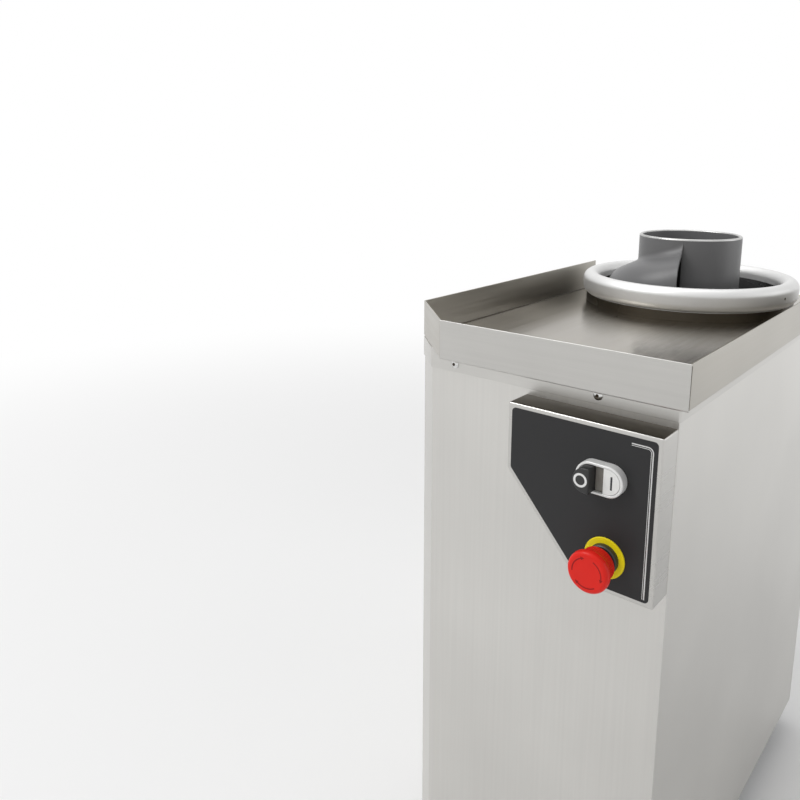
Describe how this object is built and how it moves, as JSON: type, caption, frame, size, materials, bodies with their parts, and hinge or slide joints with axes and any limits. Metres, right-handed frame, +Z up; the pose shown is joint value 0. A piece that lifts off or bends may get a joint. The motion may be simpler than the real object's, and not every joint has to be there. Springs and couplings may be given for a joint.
{
  "type": "dough rounder",
  "caption": "Floor-standing dough rounder: a belt-driven spiral auger turns in a round bowl set in the tray of a stainless cabinet with a control box at its front.",
  "frame": {"origin": "on the floor, at the middle of the overall width and depth", "axes": "+Z up, +Y from the control box to the rear panel, +X to the right as seen from the front"},
  "size_m": [0.338, 0.681, 0.7975],
  "materials": {
    "stainless": "satin brushed stainless sheet",
    "galvanised": "galvanised sheet",
    "bright_screws": "bright stainless fasteners",
    "bowl_alloy": "satin cast aluminium",
    "auger_coat": "dark grey fine-textured non-stick coat",
    "turned_alloy": "turned aluminium",
    "ground_steel": "ground steel",
    "cast_grey": "machined grey cast iron",
    "motor_paint": "grey-blue machine paint",
    "black_plastic": "matte black plastic",
    "black_rubber": "black rubber",
    "label_black": "matte black label",
    "bezel_silver": "silver-grey moulded plastic",
    "lens_grey": "frosted grey plastic",
    "stop_black": "black moulded plastic",
    "start_white": "white moulded plastic",
    "stop_red": "red moulded plastic",
    "stop_yellow": "yellow moulded plastic",
    "stem_grey": "grey moulded plastic",
    "gear_grey": "light grey moulded plastic",
    "terminal_beige": "beige moulded plastic"
  },
  "bodies": {
    "cabinet": {"front_panel": "stainless", "left_panel": "stainless", "right_panel": "stainless", "rear_panel": "stainless", "top_deck": "stainless", "tray": "stainless", "control_box": "stainless", "base_pan": "galvanised", "motor_bracket": "galvanised", "mounting_rail": "galvanised", "foot_studs": "bright_screws", "rear_screws": "bright_screws", "deck_screws": "bright_screws", "bowl_bolts": "bright_screws", "housing_bolts": "bright_screws", "motor_bolts": "bright_screws", "bowl": "bowl_alloy", "upper_bearing": "ground_steel", "lower_bearing": "ground_steel", "bearing_housing": "cast_grey", "motor_body": "motor_paint", "fan_cover": "motor_paint", "motor_terminal_box": "black_plastic", "cable_gland": "black_plastic", "gland_nut": "black_plastic", "switch_contacts": "black_plastic", "estop_contacts": "black_plastic", "estop_collar": "black_plastic", "feet": "black_rubber", "shaft_seal": "black_rubber", "drive_belt": "black_rubber", "control_label": "label_black", "switch_bezel": "bezel_silver", "switch_lens": "lens_grey", "estop_disc": "stop_yellow", "contactor": "gear_grey", "terminal_block": "terminal_beige"},
    "auger": {"auger": "auger_coat", "auger_boss": "turned_alloy", "boss_screws": "bright_screws", "auger_screw": "bright_screws", "drive_shaft": "ground_steel", "drive_keys": "ground_steel", "driven_pulley": "cast_grey", "pulley_screw": "bright_screws"},
    "rotor": {"motor_shaft": "ground_steel", "motor_pulley": "cast_grey", "motor_fan": "black_plastic"},
    "stop_button": {"stop_button": "stop_black"},
    "start_button": {"start_button": "start_white"},
    "estop_stem": {"estop_stem": "stem_grey"},
    "estop_head": {"estop_head": "stop_red"}
  },
  "joints": [
    {"name": "auger_spin", "type": "hinge", "parent": "cabinet", "child": "auger", "pos_m": [-0.00875, 0.162, 0.7], "axis": [0, 0, 1], "continuous": true},
    {"name": "motor_spin", "type": "hinge", "parent": "cabinet", "child": "rotor", "pos_m": [-0.00875, -0.028, 0.4], "axis": [0, 0, 1], "continuous": true},
    {"name": "stop_press", "type": "slide", "parent": "cabinet", "child": "stop_button", "axis": [0, 1, 0], "range_m": [0, 0.003], "stiffness_N_per_m": 800},
    {"name": "start_press", "type": "slide", "parent": "cabinet", "child": "start_button", "axis": [0, 1, 0], "range_m": [0, 0.003], "stiffness_N_per_m": 800},
    {"name": "estop_press", "type": "slide", "parent": "cabinet", "child": "estop_stem", "axis": [0, 1, 0], "range_m": [0, 0.005]},
    {"name": "estop_twist", "type": "hinge", "parent": "estop_stem", "child": "estop_head", "pos_m": [0.1015, -0.325, 0.543], "axis": [0, 1, 0], "range_deg": [0, 45], "stiffness_Nm_per_rad": 0.1}
  ],
  "couplings": [
    {"joint": "motor_spin", "follows": "auger_spin", "ratio": 2.8234}
  ]
}
